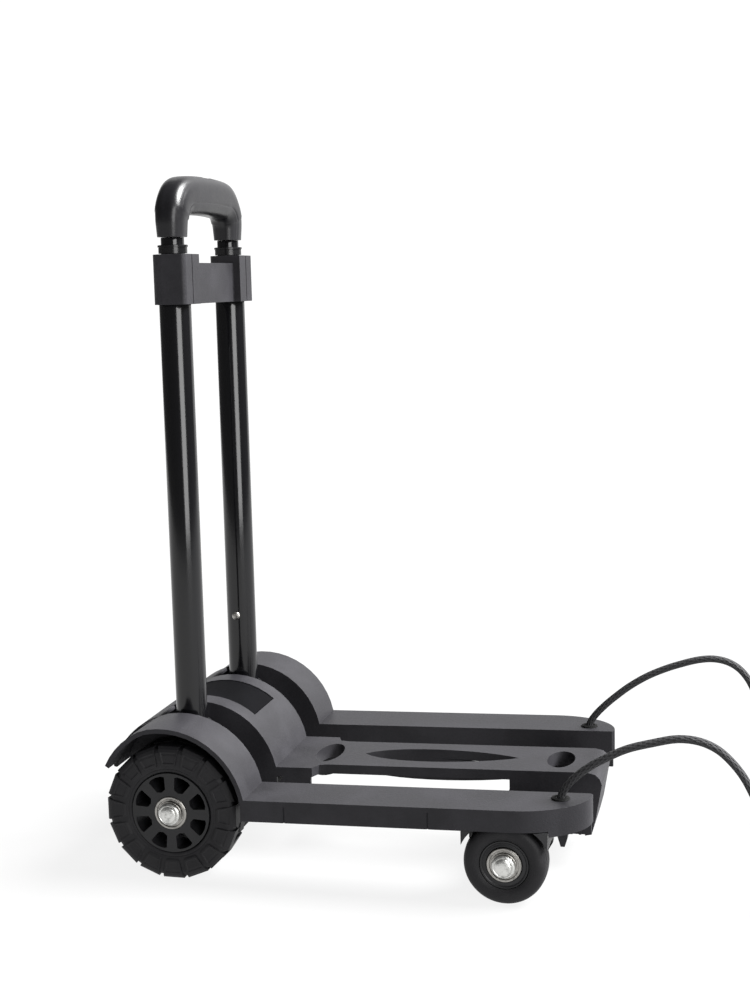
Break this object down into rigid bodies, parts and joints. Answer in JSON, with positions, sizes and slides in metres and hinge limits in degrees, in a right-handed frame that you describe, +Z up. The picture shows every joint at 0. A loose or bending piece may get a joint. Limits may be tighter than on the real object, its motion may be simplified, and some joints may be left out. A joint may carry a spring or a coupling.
{
  "type": "folding luggage trolley",
  "caption": "Compact folding luggage trolley with a telescoping handle hinged on the rear axle, a tined base on wheels and an elastic cord.",
  "frame": {"origin": "middle of the footprint without the cord, on the floor", "axes": "+Z up, the tines point along -Y, the rear axle lies along X"},
  "size_m": [0.2156, 0.5586, 0.4584],
  "materials": {
    "plastic": "fine moulded texture",
    "rubber": "matte",
    "paint": "gloss black",
    "steel": "zinc plated",
    "cord": "braided sleeve"
  },
  "bodies": {
    "base": {"deck": "plastic", "barrel_panel": "plastic", "rear_cross_member": "plastic", "front_cross_member": "plastic", "rear_axle": "steel", "front_axle": "steel", "left_cord": "cord", "right_cord": "cord", "cord_coil": "cord", "left_arm": "plastic", "left_post_guard": "plastic", "left_fork": "plastic", "left_rear_washer": "steel", "left_front_washer": "steel", "left_rear_bolt": "steel", "left_front_bolt": "steel", "left_cord_eyelet": "steel", "left_cord_knot": "cord", "right_arm": "plastic", "right_post_guard": "plastic", "right_fork": "plastic", "right_rear_washer": "steel", "right_front_washer": "steel", "right_rear_bolt": "steel", "right_front_bolt": "steel", "right_cord_eyelet": "steel", "right_cord_knot": "cord"},
    "left_rear_wheel": {"left_rear_tyre": "rubber", "left_rear_rim": "plastic", "left_rear_bearing": "steel"},
    "right_rear_wheel": {"right_rear_tyre": "rubber", "right_rear_rim": "plastic", "right_rear_bearing": "steel"},
    "left_front_wheel": {"left_front_tyre": "rubber", "left_front_rim": "plastic", "left_front_bearing": "steel"},
    "right_front_wheel": {"right_front_tyre": "rubber", "right_front_rim": "plastic", "right_front_bearing": "steel"},
    "handle_frame": {"collar": "plastic", "left_outer_tube": "paint", "left_foot": "plastic", "left_rivet": "steel", "right_outer_tube": "paint", "right_foot": "plastic", "right_rivet": "steel"},
    "left_middle_stage": {"left_middle_tube": "paint", "left_middle_cap": "plastic"},
    "right_middle_stage": {"right_middle_tube": "paint", "right_middle_cap": "plastic"},
    "handle_top": {"left_inner_tube": "paint", "right_inner_tube": "paint", "grip": "plastic"},
    "button": {"push_button": "plastic"}
  },
  "joints": [
    {"name": "handle_fold", "type": "hinge", "parent": "base", "child": "handle_frame", "pos_m": [0, 0.10973, 0.045], "axis": [1, 0, 0], "range_deg": [0, 90]},
    {"name": "left_rear_wheel_spin", "type": "hinge", "parent": "base", "child": "left_rear_wheel", "pos_m": [-0.087, 0.10973, 0.045], "axis": [1, 0, 0], "continuous": true},
    {"name": "right_rear_wheel_spin", "type": "hinge", "parent": "base", "child": "right_rear_wheel", "pos_m": [0.087, 0.10973, 0.045], "axis": [1, 0, 0], "continuous": true},
    {"name": "left_front_wheel_spin", "type": "hinge", "parent": "base", "child": "left_front_wheel", "pos_m": [-0.092, -0.11077, 0.0265], "axis": [1, 0, 0], "continuous": true},
    {"name": "right_front_wheel_spin", "type": "hinge", "parent": "base", "child": "right_front_wheel", "pos_m": [0.092, -0.11077, 0.0265], "axis": [1, 0, 0], "continuous": true},
    {"name": "middle_stage_slide", "type": "slide", "parent": "handle_frame", "child": "left_middle_stage", "axis": [0, 0, 1], "range_m": [0, 0.27]},
    {"name": "right_middle_stage_slide", "type": "slide", "parent": "handle_frame", "child": "right_middle_stage", "axis": [0, 0, 1], "range_m": [0, 0.27]},
    {"name": "handle_top_slide", "type": "slide", "parent": "left_middle_stage", "child": "handle_top", "axis": [0, 0, 1], "range_m": [0, 0.27]},
    {"name": "push_button_press", "type": "slide", "parent": "handle_top", "child": "button", "axis": [0, 0, -1], "range_m": [0, 0.004], "stiffness_N_per_m": 400}
  ],
  "couplings": [
    {"joint": "right_middle_stage_slide", "follows": "middle_stage_slide", "ratio": 1}
  ]
}
